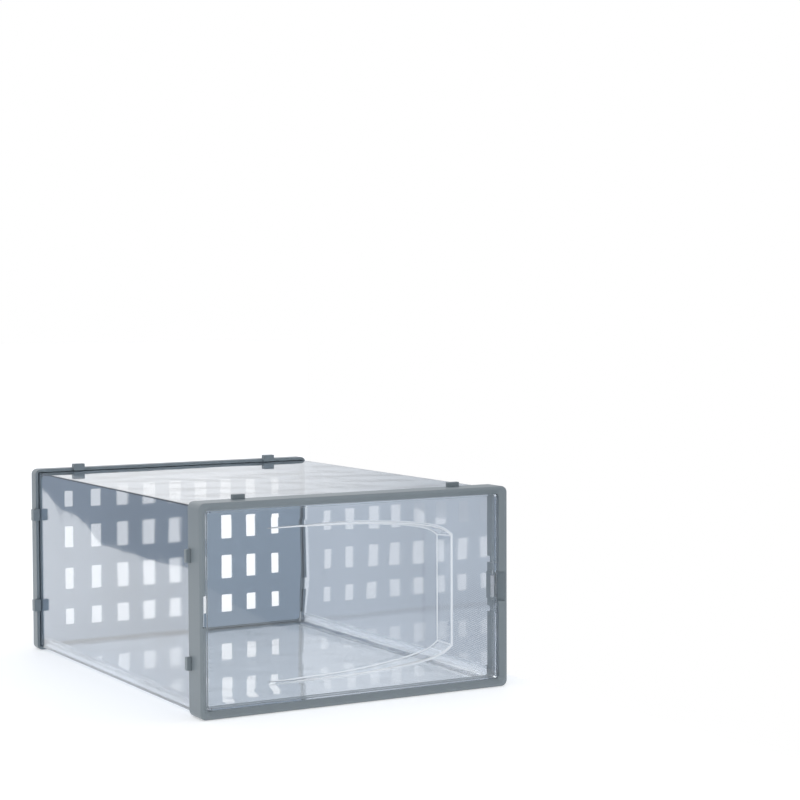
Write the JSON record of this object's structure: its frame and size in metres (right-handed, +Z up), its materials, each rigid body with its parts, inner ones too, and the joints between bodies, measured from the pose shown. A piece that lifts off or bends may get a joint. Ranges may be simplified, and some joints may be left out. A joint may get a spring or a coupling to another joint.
{
  "type": "stackable front-opening shoe box",
  "caption": "Clear stackable shoe box with moulded end frames, a vented back, a side-hung front door with a magnetic latch, and stacking lugs.",
  "frame": {"origin": "middle of the underside of the front frame, on the surface that the box stands on", "axes": "+Y from the front door to the vented back, +Z up, +X to the right as seen from the front"},
  "size_m": [0.2534, 0.34, 0.1534],
  "materials": {
    "frame_plastic": "satin moulded grey plastic",
    "back_plate_plastic": "satin moulded grey plastic",
    "clear_panel_plastic": "clear, glossy, slightly blue, with a fine cross-hatch on the sides",
    "clear_door_plastic": "clear and glossy",
    "magnet": "dark plated magnet",
    "steel": "plain bright strip"
  },
  "bodies": {
    "box": {"front_frame": "frame_plastic", "rear_frame": "frame_plastic", "back_plate": "back_plate_plastic", "left_panel": "clear_panel_plastic", "right_panel": "clear_panel_plastic", "top_panel": "clear_panel_plastic", "bottom_panel": "clear_panel_plastic", "latch_magnet": "magnet", "front_lug_top_left": "frame_plastic", "front_lug_top_right": "frame_plastic", "front_lug_side_upper": "frame_plastic", "front_lug_side_lower": "frame_plastic", "rear_lug_top_left": "frame_plastic", "rear_lug_top_right": "frame_plastic", "rear_lug_side_upper": "frame_plastic", "rear_lug_side_lower": "frame_plastic"},
    "door": {"door": "clear_door_plastic", "hinge_pin_upper": "clear_door_plastic", "hinge_pin_lower": "clear_door_plastic", "latch_strike": "steel"}
  },
  "joints": [
    {"name": "door_hinge", "type": "hinge", "parent": "box", "child": "door", "pos_m": [-0.1163, -0.0051, 0.075], "axis": [0, 0, -1], "range_deg": [0, 110]}
  ]
}
